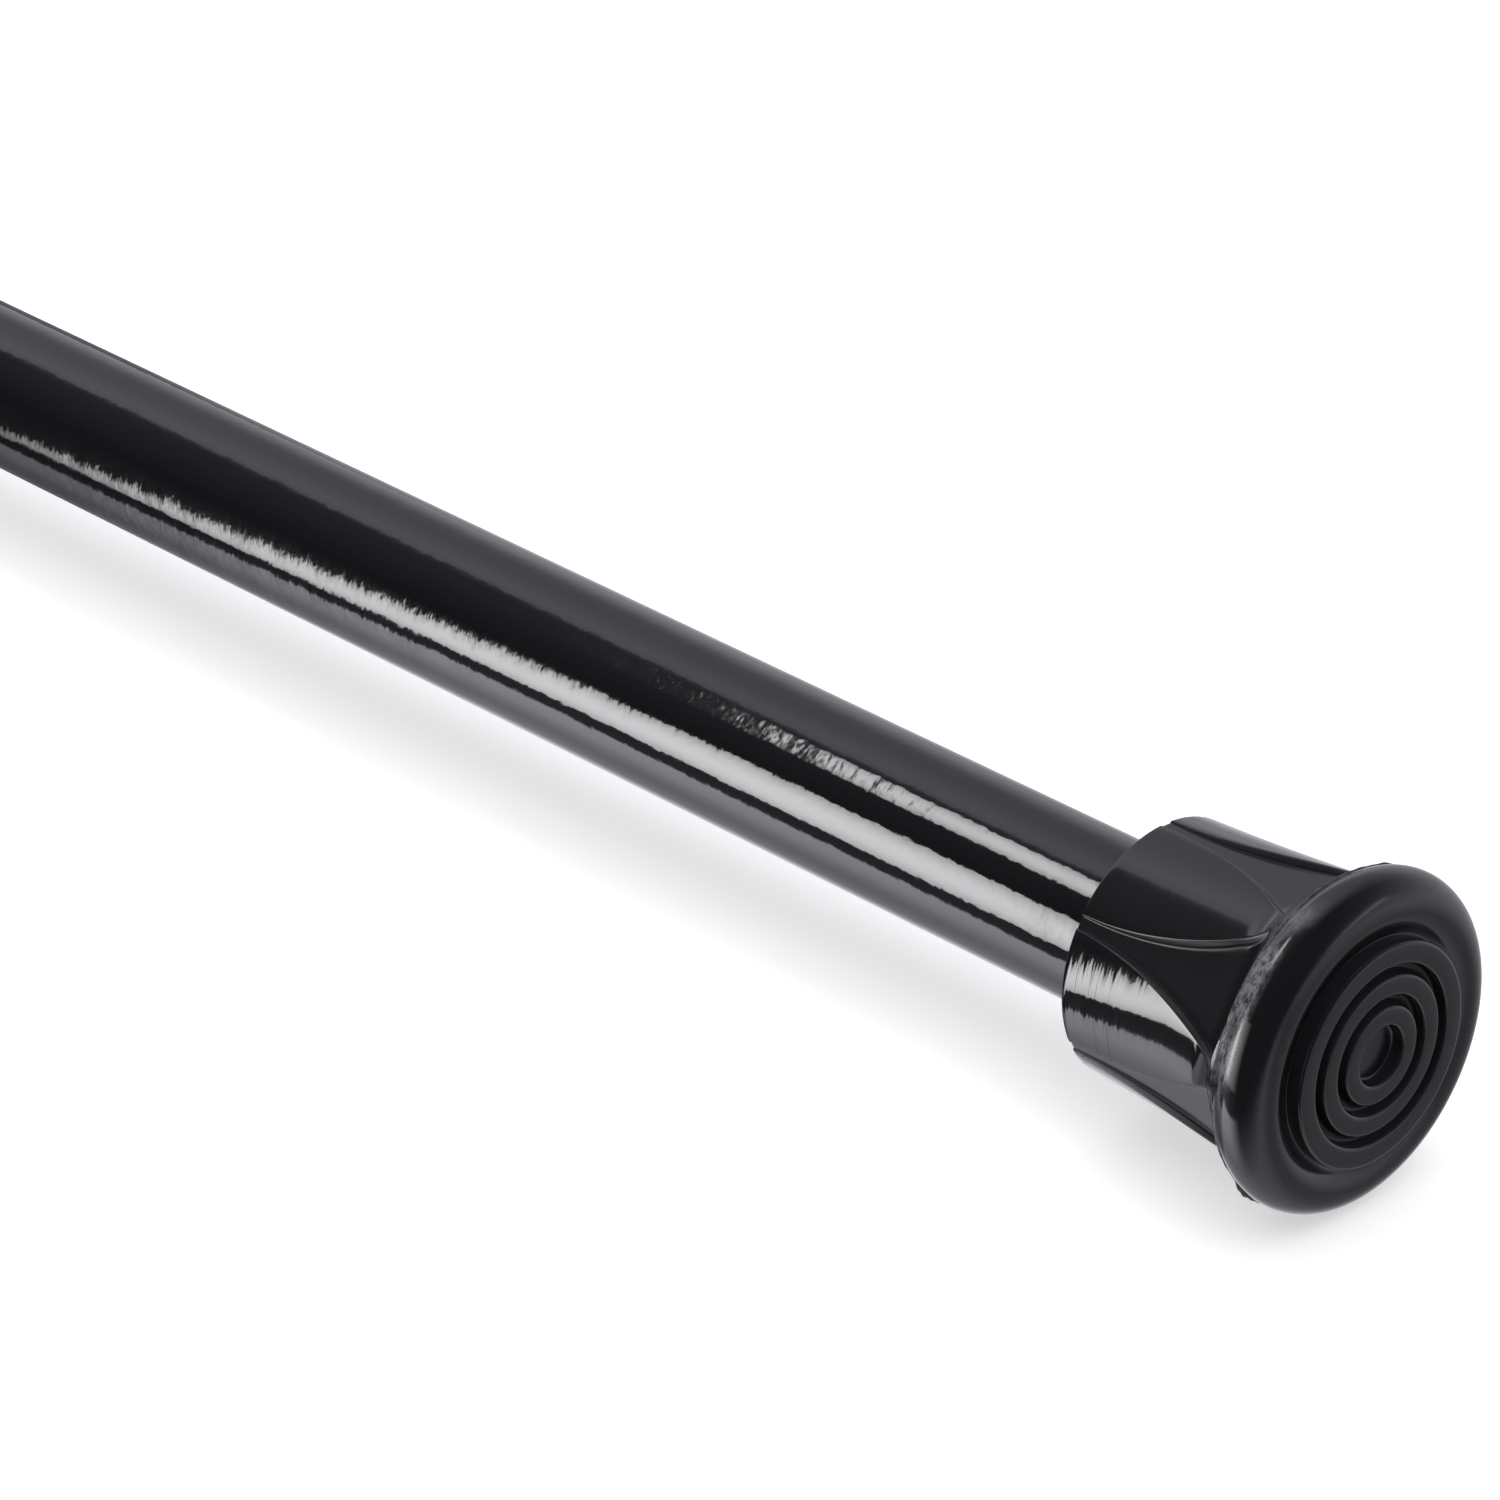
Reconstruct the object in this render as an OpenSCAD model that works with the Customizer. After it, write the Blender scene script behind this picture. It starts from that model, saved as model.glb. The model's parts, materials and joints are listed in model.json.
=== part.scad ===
// Telescoping, spring-loaded cargo bar for a truck bed.
// The bar lies along X. The origin is the centre of the outer foot's tread, +X points out of that
// foot and +Z is up, so the rest of the bar runs towards -X.

/* [Length] */
// Length of the bar as drawn, from tread to tread
bar_length = 1100; // [1040:5:1700]
// Length of the outer tube
outer_tube_length = 930; // [900:5:960]
// Length of the inner tube
inner_tube_length = 870; // [840:5:880]

/* [Tubes] */
// Outer tube diameter
outer_tube_d = 25.4; // [25.2:0.1:25.8]
// Outer tube wall thickness
outer_tube_wall = 1; // [0.9:0.05:1.1]
// Inner tube diameter
inner_tube_d = 22.2; // [22:0.1:22.3]
// Inner tube wall thickness
inner_tube_wall = 1; // [0.9:0.05:1.1]

/* [Foot] */
// Length of a foot
foot_length = 42; // [40:1:46]
// Diameter over the arched pads at the foot's open end
foot_pad_d = 39.4; // [38.6:0.1:40]
// Depth of the flutes at the open end; they deepen as the pads flare out
flute_depth = 0.3; // [0.2:0.05:0.5]
// Number of pads, and of flutes between them
pad_count = 6; // [6:1:6]
// Turn of the outer foot on its tube, in degrees
outer_foot_turn = -3; // [-30:1:30]
// Diameter of the flange
flange_d = 51.2; // [50:0.1:52]
// Distance from the tread to the flange's widest circle
flange_setback = 6; // [5.5:0.1:6.5]
// Radius of the flange's rounding
flange_round_r = 4.7; // [4.4:0.1:4.8]

/* [Tread] */
// Radius of the recess in the middle
recess_r = 4.6; // [4:0.1:5]
// Width of the two inner rings
ring_width = 2.7; // [2.4:0.1:2.9]
// Width of the outer ring
outer_ring_width = 3; // [2.7:0.1:3.2]
// Width of the grooves between the rings
groove_width = 1.9; // [1.7:0.1:2]
// Depth of the grooves and the recess
groove_depth = 2; // [1.5:0.1:2.5]
// Depth of the valley between the outer ring and the flange
valley_depth = 2.6; // [2.2:0.1:3]

/* [Twist lock] */
// Length of the split sleeve
sleeve_length = 42; // [40:1:44]
// Distance the cone is drawn into the sleeve
cone_travel = 4.5; // [3:0.1:4.5]
// Diameter of the rod's round end
rod_d = 8; // [7.8:0.1:8]

/* [Spring] */
// Length of the spring as drawn
spring_length = 42; // [40:1:44]
// Wire diameter
spring_wire_d = 1.8; // [1.6:0.1:2]
// Number of turns
spring_turns = 8; // [7:1:9]

/* [Hidden] */
$fn = 96;

// Half a millimetre past a face that a cut goes through
over = 0.5;
running_gap = 0.05;

// Radii of the tubes
outer_r = outer_tube_d / 2;
outer_bore_r = outer_r - outer_tube_wall;
inner_r = inner_tube_d / 2;
inner_bore_r = inner_r - inner_tube_wall;

// Foot: the floor between the tread and the tube's end is rubber, then a steel washer
foot_rubber = 7.5;
foot_washer_t = 1.5;
foot_floor = foot_rubber + foot_washer_t;
foot_washer_gap = 0.1;
pad_r = foot_pad_d / 2;
flute_floor_r = pad_r - flute_depth;
flange_r = flange_d / 2;
flange_land_r = flange_r - 1;
// The pads flare out gently as far as the knee, and then sharply up to the flange
flare_start_angle = 2.2;
flare_gentle_r = 480;
flare_sharp_r = 8;
flare_knee = 16;
flare_knee_angle = asin(sin(flare_start_angle) + (foot_length - flare_knee) / flare_gentle_r);
flare_knee_rise = flare_gentle_r * (cos(flare_start_angle) - cos(flare_knee_angle));
// A degree off the gentle arc's own slope, so that the two arcs cross cleanly
flare_cross_angle = flare_knee_angle - 1;
// Each pad is a pointed arch of two arcs: its foot is the open end, its point is at the flange
pad_pitch = 360 / pad_count;
flute_mouth = 2.1;
pad_half_width = pad_r * sin(pad_pitch / 2) - flute_mouth / 2;
pad_arch_length = foot_length - 10;
pad_land_step = 0.3;
pad_end = 2;
pad_root_r = 14;
// The flutes' flat floors end in a fillet up to the flange.
// It bites in a little, so that the two cross cleanly.
flute_fillet_r = 5.2;
flute_fillet_bite = 0.25;
flute_fillet_z = -14.6;
pad_arch_r = (pow(pad_half_width, 2) + pow(pad_arch_length, 2)) / (2 * pad_half_width);

// Tread rings, from the middle outwards, as inner radius and width
ring_pitch = ring_width + groove_width;
tread_rings = [[recess_r, ring_width],
               [recess_r + ring_pitch, ring_width],
               [recess_r + 2 * ring_pitch, outer_ring_width]];
tread_r = recess_r + 2 * ring_pitch + outer_ring_width;

// Places along X, from the outer foot to the inner foot
outer_tube_end = -foot_floor;
mouth = outer_tube_end - outer_tube_length;
inner_tube_far = foot_floor - bar_length;
inner_tube_near = inner_tube_far + inner_tube_length;

// Collar over the outer tube's mouth
collar_r = 14.8;
collar_length = 26;
collar_lip = 3;
collar_round_r = 1.4;

// Plug in the inner tube's near end, and the guide ring in its groove
plug_depth = 22.2;
plug_flange_t = 2.5;
guide_width = 6;
plug_nose_t = 1.5;
guide_seat_r = 9.9;
guide_split = 1;
plug_front = inner_tube_near + plug_flange_t + guide_width + plug_nose_t;
plug_rear = inner_tube_near - plug_depth;
rivet_r = 1.6;
rivet_inner_r = 6.5;
rivet_x = (plug_rear + inner_tube_near) / 2;

// Drive rod: hexagon bar up to the seat, round beyond it
rod_r = rod_d / 2;
hex_across = rod_d;
seat_x = plug_front + spring_length;
seat_t = 3;
seat_r = 10.5;
seat_hub_r = 6.3;
seat_hub_length = 6;
seat_pin_r = 1.25;
seat_pin_x = seat_x - seat_hub_length / 2;
rod_shoulder = seat_x + seat_t;
thrust_washer_t = 1;
thrust_washer_r = 9;
retaining_washer_t = 1.5;
retaining_washer_r = 9;
clip_t = 1.1;
clip_r = 7;
clip_groove_r = 3.5;
clip_x = plug_rear - running_gap - retaining_washer_t - clip_t;
rod_tail = 4;
rod_far = clip_x - rod_tail;

// Split sleeve and the cone that spreads it
sleeve_x = rod_shoulder + thrust_washer_t;
sleeve_r = outer_bore_r - 0.08;
sleeve_wall_t = 6;
sleeve_inner_r = 6;
taper_length = 18;
taper_mouth_r = 9.9;
taper_slope = (taper_mouth_r - sleeve_inner_r) / taper_length;
sleeve_mouth = sleeve_x + sleeve_length;
slot_width = 2;
slot_length = 28;
slot_count = 4;
drag_wire_r = 0.9;
drag_x = sleeve_x + 9;
drag_ring_r = outer_bore_r - 0.01 - drag_wire_r;
cone_bite = 5;
cone_length = 14;
cone_gap = 0.12;
cone_x = sleeve_mouth - cone_bite;
cone_small_r = taper_mouth_r - taper_slope * (cone_bite + cone_travel) - cone_gap;
cone_large_r = cone_small_r + taper_slope * cone_length;
key_width = 1.6;
key_length = 9;
key_r = 11.3;
nut_across = 13;
nut_length = 6.5;
nut_gap = 0.5;
nut_x = cone_x + cone_length + nut_gap;
rod_tip_past_nut = 2;
rod_near = nut_x + nut_length + rod_tip_past_nut;

// Spring coil
spring_coil_r = 8;
spring_dead_turns = 1;
spring_steps = 24;
spring_sides = 8;

// Puts something drawn along Z on the bar's axis, with its Z pointing along +X from the place x
module on_axis(x) {
    translate([x, 0, 0])
        rotate([0, 90, 0])
            children();
}

module ring(x, length, r_out, r_in) {
    on_axis(x)
        difference() {
            cylinder(r = r_out, h = length);
            translate([0, 0, -over])
                cylinder(r = r_in, h = length + 2 * over);
        }
}

// Hexagon bar drawn along Z, measured across its flats
module hexagon(across, length) {
    cylinder(r = across / (2 * cos(30)), h = length, $fn = 6);
}

// Half outline of the flared pads, from the axis out. It ends in a narrow land, which the flange covers.
module flare_outline(land_r, length) {
    difference() {
        translate([0, -foot_length])
            square([land_r, length]);
        translate([pad_r + flare_gentle_r * cos(flare_start_angle),
                   -foot_length - flare_gentle_r * sin(flare_start_angle)])
            circle(r = flare_gentle_r);
        translate([pad_r + flare_knee_rise + flare_sharp_r * cos(flare_cross_angle),
                   -flare_knee - flare_sharp_r * sin(flare_cross_angle)])
            circle(r = flare_sharp_r);
    }
}

// Half outline of the fillet between the flutes' floors and the flange
module flute_fillet_outline() {
    difference() {
        translate([0, flute_fillet_z])
            square([flange_land_r, -flange_setback - flute_fillet_z]);
        translate([flute_floor_r - flute_fillet_bite + flute_fillet_r, flute_fillet_z])
            circle(r = flute_fillet_r);
    }
}

// Half outline of the round part of the foot: fillet, flange and tread
module foot_outline() {
    flute_fillet_outline();
    translate([flange_r - flange_round_r, -flange_setback])
        circle(r = flange_round_r);
    translate([0, -flange_setback - 1])
        square([flange_r - flange_round_r, flange_setback + 1 - valley_depth]);
    translate([0, -flange_setback - 1])
        square([tread_r, flange_setback + 1 - groove_depth]);
    for (ring = tread_rings)
        translate([ring[0], -groove_depth - over])
            square([ring[1], groove_depth + over]);
}

// Pointed arch of one pad, seen from outside: the open end is at x = 0 and the point is along +x
module pad_arch() {
    intersection_for (side = [-1, 1])
        translate([0, side * (pad_arch_r - pad_half_width)])
            circle(r = pad_arch_r);
}

// Prism whose flats are the flutes' floors
module flute_floors() {
    rotate([0, 0, pad_pitch / 2])
        translate([0, 0, -foot_length - over])
            cylinder(r = flute_floor_r / cos(pad_pitch / 2), h = foot_length, $fn = pad_count);
}

// The foot's side: the flare, kept over the pads' pointed arches and cut down to the floors between them
module pads() {
    intersection() {
        rotate_extrude()
            flare_outline(flange_land_r - pad_land_step, foot_length - flange_setback - pad_end);
        union() {
            flute_floors();
            for (i = [0 : pad_count - 1])
                rotate([0, 0, (i + 0.5) * pad_pitch])
                    translate([0, 0, -foot_length])
                        rotate([0, -90, 180])
                            translate([0, 0, pad_root_r])
                                linear_extrude(height = flange_r)
                                    pad_arch();
        }
    }
}

// A foot with its tread at z = 0 and its open end towards -Z
module foot(bore_r) {
    difference() {
        union() {
            rotate_extrude()
                foot_outline();
            pads();
        }
        translate([0, 0, -foot_length - over])
            cylinder(r = bore_r, h = foot_length - foot_rubber + over);
    }
}

module outer_tube() {
    color([0.05, 0.05, 0.055])
        ring(mouth, outer_tube_length, outer_r, outer_bore_r);
}

module outer_foot() {
    color([0.09, 0.09, 0.095])
        on_axis(0)
            rotate([0, 0, outer_foot_turn])
                foot(outer_r);
}

module outer_foot_washer() {
    color("silver")
        on_axis(-foot_floor)
            cylinder(r = outer_r - foot_washer_gap, h = foot_washer_t);
}

module inner_foot() {
    color([0.09, 0.09, 0.095])
        translate([-bar_length, 0, 0])
            rotate([0, -90, 0])
                foot(inner_r);
}

module inner_foot_washer() {
    color("silver")
        on_axis(inner_tube_far - foot_washer_t)
            cylinder(r = inner_r - foot_washer_gap, h = foot_washer_t);
}

// Half outline of the collar, with rounded ends
module collar_outline() {
    difference() {
        union() {
            translate([0, collar_round_r])
                square([collar_r, collar_length - 2 * collar_round_r]);
            square([collar_r - collar_round_r, collar_length]);
            for (end = [collar_round_r, collar_length - collar_round_r])
                translate([collar_r - collar_round_r, end])
                    circle(r = collar_round_r);
        }
        translate([0, collar_lip])
            square([outer_r, collar_length]);
        translate([0, -over])
            square([inner_r + running_gap, collar_length]);
    }
}

module mouth_collar() {
    color([0.07, 0.07, 0.075])
        on_axis(mouth - collar_lip)
            rotate_extrude()
                collar_outline();
}

// Half outline of the split sleeve: rear wall, plain bore, tapered mouth and the drag ring's groove
module sleeve_outline() {
    difference() {
        square([sleeve_r, sleeve_length]);
        translate([0, -over])
            square([rod_r + running_gap, sleeve_wall_t + 2 * over]);
        translate([0, sleeve_wall_t])
            square([sleeve_inner_r, sleeve_length]);
        polygon([[0, sleeve_length - taper_length],
                 [sleeve_inner_r, sleeve_length - taper_length],
                 [taper_mouth_r + taper_slope * over, sleeve_length + over],
                 [0, sleeve_length + over]]);
        translate([drag_ring_r, drag_x - sleeve_x])
            circle(r = drag_wire_r + running_gap);
    }
}

module lock_sleeve() {
    color("ivory")
        on_axis(sleeve_x)
            difference() {
                rotate_extrude()
                    sleeve_outline();
                for (i = [0 : slot_count - 1])
                    rotate([0, 0, i * 360 / slot_count])
                        translate([0, -slot_width / 2, sleeve_length - slot_length])
                            cube([sleeve_r + over, slot_width, slot_length + over]);
            }
}

module drag_ring() {
    color("dimgray")
        on_axis(drag_x)
            rotate_extrude()
                translate([drag_ring_r, 0])
                    circle(r = drag_wire_r);
}

// The cone, with a key in each of two opposite slots of the sleeve to keep it from turning
module lock_cone() {
    color("goldenrod")
        on_axis(cone_x)
            difference() {
                union() {
                    cylinder(r1 = cone_small_r, r2 = cone_large_r, h = cone_length);
                    for (turn = [0, 180])
                        rotate([0, 0, turn])
                            translate([rod_r + 1, -key_width / 2, 0])
                                cube([key_r - rod_r - 1, key_width, key_length]);
                }
                translate([0, 0, -over])
                    cylinder(r = rod_r + running_gap, h = cone_length + 2 * over);
            }
}

module drive_rod() {
    color("silver")
        difference() {
            union() {
                on_axis(rod_far)
                    hexagon(hex_across, rod_shoulder - rod_far);
                on_axis(rod_shoulder - over)
                    cylinder(r = rod_r, h = rod_near - rod_shoulder + over);
            }
            ring(clip_x, clip_t, rod_r * 2, clip_groove_r);
            seat_pin_hole();
        }
}

module seat_pin_hole() {
    translate([seat_pin_x, 0, 0])
        rotate([90, 0, 0])
            cylinder(r = seat_pin_r, h = 4 * seat_hub_r, center = true);
}

module stop_nut() {
    color("silver")
        on_axis(nut_x)
            difference() {
                hexagon(nut_across, nut_length);
                translate([0, 0, -over])
                    cylinder(r = rod_r, h = nut_length + 2 * over);
            }
}

module thrust_washer() {
    color("silver")
        ring(rod_shoulder, thrust_washer_t - running_gap, thrust_washer_r, rod_r);
}

module spring_seat() {
    color("gray")
        difference() {
            union() {
                on_axis(seat_x - seat_hub_length)
                    cylinder(r = seat_hub_r, h = seat_hub_length + over);
                on_axis(seat_x)
                    cylinder(r = seat_r, h = seat_t);
            }
            on_axis(seat_x - seat_hub_length - over)
                hexagon(hex_across, seat_hub_length + seat_t + 2 * over);
            seat_pin_hole();
        }
}

module seat_pin() {
    color("silver")
        translate([seat_pin_x, 0, 0])
            rotate([90, 0, 0])
                cylinder(r = seat_pin_r, h = 2 * seat_hub_r - 0.4, center = true);
}

module retaining_washer() {
    color("silver")
        on_axis(clip_x + clip_t)
            difference() {
                cylinder(r = retaining_washer_r, h = retaining_washer_t);
                translate([0, 0, -over])
                    hexagon(hex_across, retaining_washer_t + 2 * over);
            }
}

// Snap clip, open on one side, in the rod's groove
module retaining_clip() {
    color("dimgray")
        difference() {
            ring(clip_x, clip_t, clip_r, clip_groove_r);
            translate([clip_x - over, -clip_groove_r / 2, 0])
                cube([clip_t + 2 * over, clip_groove_r, clip_r + over]);
        }
}

// Height of the coil's centre line after a number of turns: its first and last turns lie closed
function coil_height(turn) =
    let (open_turns = spring_turns - 2 * spring_dead_turns,
         closed = spring_dead_turns * spring_wire_d,
         open_rise = spring_length - spring_wire_d - 2 * closed)
    turn < spring_dead_turns ? turn * spring_wire_d
    : turn > spring_turns - spring_dead_turns
        ? spring_length - spring_wire_d - (spring_turns - turn) * spring_wire_d
        : closed + (turn - spring_dead_turns) / open_turns * open_rise;

// Points round the wire, at one place along the coil
function wire_ring(turn) =
    [for (side = [0 : spring_sides - 1])
        let (around = 360 * side / spring_sides,
             r = spring_coil_r + spring_wire_d / 2.05 * cos(around),
             rise = spring_wire_d / 2.05 * sin(around))
        [r * cos(360 * turn), r * sin(360 * turn), spring_wire_d / 2 + coil_height(turn) + rise]];

module spring() {
    last = spring_turns * spring_steps;
    points = [for (i = [0 : last]) each wire_ring(i / spring_steps)];
    sides = [for (i = [0 : last - 1])
                for (side = [0 : spring_sides - 1])
                    let (next = (side + 1) % spring_sides)
                    [i * spring_sides + side, (i + 1) * spring_sides + side,
                     (i + 1) * spring_sides + next, i * spring_sides + next]];
    first_end = [for (side = [0 : spring_sides - 1]) side];
    last_end = [for (side = [spring_sides - 1 : -1 : 0]) last * spring_sides + side];
    color("silver")
        on_axis(plug_front)
            polyhedron(points, concat(sides, [first_end, last_end]), convexity = 10);
}

module inner_tube() {
    color([0.05, 0.05, 0.055])
        difference() {
            ring(inner_tube_far, inner_tube_length, inner_r, inner_bore_r);
            rivet_holes();
        }
}

module rivet_holes() {
    for (turn = [0, 180])
        rotate([turn, 0, 0])
            translate([rivet_x, 0, rivet_inner_r])
                cylinder(r = rivet_r, h = inner_r);
}

module tube_plug() {
    color("ivory")
        difference() {
            union() {
                on_axis(plug_rear)
                    cylinder(r = inner_bore_r, h = plug_depth + over);
                on_axis(inner_tube_near)
                    cylinder(r = inner_r, h = plug_flange_t);
                on_axis(inner_tube_near)
                    cylinder(r = guide_seat_r, h = plug_front - inner_tube_near);
                on_axis(plug_front - plug_nose_t)
                    cylinder(r = inner_r, h = plug_nose_t);
            }
            on_axis(plug_rear - over)
                hexagon(hex_across + 2 * running_gap, plug_front - plug_rear + 2 * over);
            rivet_holes();
        }
}

module plug_rivets() {
    color("silver")
        for (turn = [0, 180])
            rotate([turn, 0, 0])
                translate([rivet_x, 0, rivet_inner_r])
                    cylinder(r = rivet_r, h = inner_r - rivet_inner_r);
}

module guide_ring() {
    color("white")
        difference() {
            ring(inner_tube_near + plug_flange_t, guide_width, outer_bore_r - running_gap, guide_seat_r);
            translate([inner_tube_near, -guide_split / 2, 0])
                cube([plug_front - inner_tube_near, guide_split, outer_r]);
        }
}

outer_tube();
outer_foot();
outer_foot_washer();
mouth_collar();
lock_sleeve();
drag_ring();
lock_cone();
drive_rod();
stop_nut();
thrust_washer();
spring_seat();
seat_pin();
spring();
retaining_washer();
retaining_clip();
inner_tube();
tube_plug();
plug_rivets();
guide_ring();
inner_foot();
inner_foot_washer();
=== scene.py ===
"""Looks of the telescoping cargo bar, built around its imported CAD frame.

The bar lies along X, with the outer foot's tread at x = 0 facing +X. Everything is in metres; sizes given in
millimetres carry the factor MM.
"""

import json
import math

import bpy
import numpy as np
from mathutils import Matrix, Vector


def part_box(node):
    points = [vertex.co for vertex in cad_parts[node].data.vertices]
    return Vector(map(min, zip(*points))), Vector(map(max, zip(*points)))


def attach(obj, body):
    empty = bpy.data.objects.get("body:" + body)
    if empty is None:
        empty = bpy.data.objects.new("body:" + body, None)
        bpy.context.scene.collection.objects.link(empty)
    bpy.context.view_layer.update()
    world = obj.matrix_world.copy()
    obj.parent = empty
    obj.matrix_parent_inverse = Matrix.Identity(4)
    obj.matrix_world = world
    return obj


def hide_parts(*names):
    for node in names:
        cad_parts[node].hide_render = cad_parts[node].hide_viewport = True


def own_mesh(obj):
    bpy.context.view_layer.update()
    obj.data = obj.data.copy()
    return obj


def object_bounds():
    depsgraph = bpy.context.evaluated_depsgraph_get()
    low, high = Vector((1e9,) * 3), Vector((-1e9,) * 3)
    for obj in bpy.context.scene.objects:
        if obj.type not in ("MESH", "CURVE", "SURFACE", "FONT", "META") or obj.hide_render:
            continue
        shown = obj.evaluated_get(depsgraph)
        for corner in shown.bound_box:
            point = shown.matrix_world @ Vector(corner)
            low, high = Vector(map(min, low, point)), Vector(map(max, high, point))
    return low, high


MM = 0.001

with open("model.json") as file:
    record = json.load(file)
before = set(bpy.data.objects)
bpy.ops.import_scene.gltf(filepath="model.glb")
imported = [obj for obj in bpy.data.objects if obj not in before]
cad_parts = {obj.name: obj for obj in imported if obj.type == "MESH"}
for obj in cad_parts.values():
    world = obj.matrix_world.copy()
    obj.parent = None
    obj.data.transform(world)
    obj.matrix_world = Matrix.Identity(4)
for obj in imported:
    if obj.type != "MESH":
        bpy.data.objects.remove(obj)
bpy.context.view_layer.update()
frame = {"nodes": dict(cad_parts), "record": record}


# ---------------------------------------------------------------- sizes taken from the frame

def across(node):
    """Lowest and highest x of a CAD node."""
    low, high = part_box(node)
    return low.x, high.x


def radius(node):
    """Outer radius of a round CAD node on the bar's axis."""
    low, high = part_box(node)
    return (high.y - low.y) / 2


OUTER_FOOT_BACK, OUTER_TREAD = across("outer_foot")
INNER_TREAD, INNER_FOOT_BACK = across("inner_foot")
FOOT_LENGTH = OUTER_TREAD - OUTER_FOOT_BACK
OUTER_TUBE_R = radius("outer_tube")
INNER_TUBE_R = radius("inner_tube")
TUBE_WALL = 1.0 * MM
FLOOR_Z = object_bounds()[0][2]

# ---------------------------------------------------------------- sizes of the foot

PAD_COUNT = 6
PAD_R = 19.7 * MM
PAD_ARCH_LENGTH = 32 * MM
PAD_WALL_RUN = 0.95
"""How far a pad's side spreads for each unit of its height."""
FLUTE_R = 19.4 * MM
FLUTE_MOUTH = 2.1 * MM
FLUTE_FILLET_R = 5.2 * MM
FLARE_START = math.radians(2.2)
FLARE_GENTLE_R = 480 * MM
FLARE_SHARP_R = 8 * MM
FLARE_KNEE = -16 * MM
STEEPEST = 0.99
"""Sine of the flare's steepest angle, above which it has reached the flange."""
FLANGE_LAND_R = 24.6 * MM
FLANGE_MEET = -9.4 * MM
FLANGE_MIDDLE = (20.9 * MM, -6 * MM)
FLANGE_ROUND_R = 4.7 * MM
FOOT_RUBBER = 7.5 * MM
OUTER_FOOT_TURN = math.radians(3)
RING_TOPS = ((4.45 * MM, 7.5 * MM), (9.0 * MM, 12.1 * MM), (13.6 * MM, 16.95 * MM))
RECESS_R = RING_TOPS[0][0]
RING_ROUNDING = 0.65 * MM
GROOVE_DEPTH = 2.1 * MM
VALLEY = (17.35 * MM, -2.6 * MM)
VALLEY_LIP = 0.3 * MM
"""How far above the valley's floor the flange's rounding ends."""
CUT_EDGE = 0.4 * MM
"""Rounding of the open end's edges."""
BLENDED_FROM = -11 * MM
"""Where the columns start to turn from the pads' outlines to even steps."""
FLASH_ROWS = ((-9.38, 0.3), (-9.3, 0.75), (-9.2, 1.0), (-9.1, 1.0), (-9.0, 0.7), (-8.85, 0.1))
"""Outline of the mould flash: millimetres from the tread, and its share of the full height."""
FLASH_END = -8.75 * MM
FLASH_TABS = ((-85, 7, 0.7), (-146, 12, 1.25), (20, 5, 0.3))
"""Places where the flash was left taller: middle and half width in degrees, height in millimetres."""


# ---------------------------------------------------------------- outlines

def arc(centre, r, start, end, steps):
    """Points on an arc, with angles in degrees from the first axis."""
    angles = np.radians(np.linspace(start, end, steps + 1))
    return [(centre[0] + r * math.cos(a), centre[1] + r * math.sin(a)) for a in angles]


def rounded(points, r, steps=4):
    """An open outline with each of its inner corners rounded to radius r."""
    out = [points[0]]
    for before, corner, after in zip(points, points[1:], points[2:]):
        here = Vector(corner)
        to_before = Vector(before) - here
        to_after = Vector(after) - here
        half = to_before.angle(to_after) / 2
        reach = min(r / math.tan(half), 0.45 * to_before.length, 0.45 * to_after.length)
        start = here + to_before.normalized() * reach
        end = here + to_after.normalized() * reach
        for k in range(steps + 1):
            t = k / steps
            p = start * (1 - t) ** 2 + here * 2 * t * (1 - t) + end * t ** 2
            out.append((p.x, p.y))
    out.append(points[-1])
    return out


def smooth(low, high, value):
    t = np.clip((value - low) / (high - low), 0, 1)
    return t * t * (3 - 2 * t)


# ---------------------------------------------------------------- meshes

def new_object(name, vertices, faces, attributes=None):
    mesh = bpy.data.meshes.new(name)
    mesh.from_pydata([tuple(v) for v in vertices], [], faces)
    for key, values in (attributes or {}).items():
        layer = mesh.attributes.new(key, "FLOAT", "POINT")
        layer.data.foreach_set("value", np.asarray(values, np.float32))
    mesh.polygons.foreach_set("use_smooth", [True] * len(mesh.polygons))
    mesh.update()
    obj = bpy.data.objects.new(name, mesh)
    bpy.context.scene.collection.objects.link(obj)
    return obj


def ring_faces(row_count, columns, closed, flip):
    """Quads between rows of a surface that closes on itself round the axis."""
    faces = []
    last = row_count if closed else row_count - 1
    for i in range(last):
        a = i * columns
        b = (i + 1) % row_count * columns
        for j in range(columns):
            k = (j + 1) % columns
            quad = (a + j, b + j, b + k, a + k)
            faces.append(quad[::-1] if flip else quad)
    return faces


def revolve(name, outline, columns, x0):
    """A closed outline of (radius, along) points turned round the bar's axis."""
    angles = np.linspace(0, 2 * math.pi, columns, endpoint=False)
    vertices = []
    for r, along in outline:
        for a in angles:
            vertices.append((x0 + along, r * math.sin(a), r * math.cos(a)))
    return new_object(name, vertices, ring_faces(len(outline), columns, True, True))


# ---------------------------------------------------------------- foot

def pad_radius(z):
    """Radius of the pads' tops: a gentle flare from the open end, then a sharp one up to the flange."""
    knee = math.asin(math.sin(FLARE_START) + (FLARE_KNEE + FOOT_LENGTH) / FLARE_GENTLE_R)
    if z < FLARE_KNEE:
        angle = math.asin(math.sin(FLARE_START) + (z + FOOT_LENGTH) / FLARE_GENTLE_R)
        return PAD_R + FLARE_GENTLE_R * (math.cos(FLARE_START) - math.cos(angle))
    knee_r = PAD_R + FLARE_GENTLE_R * (math.cos(FLARE_START) - math.cos(knee))
    rise = math.sin(knee) + (z - FLARE_KNEE) / FLARE_SHARP_R
    if rise > STEEPEST:
        return FLANGE_LAND_R
    return min(FLANGE_LAND_R, knee_r + FLARE_SHARP_R * (math.cos(knee) - math.sqrt(1 - rise ** 2)))


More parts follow.
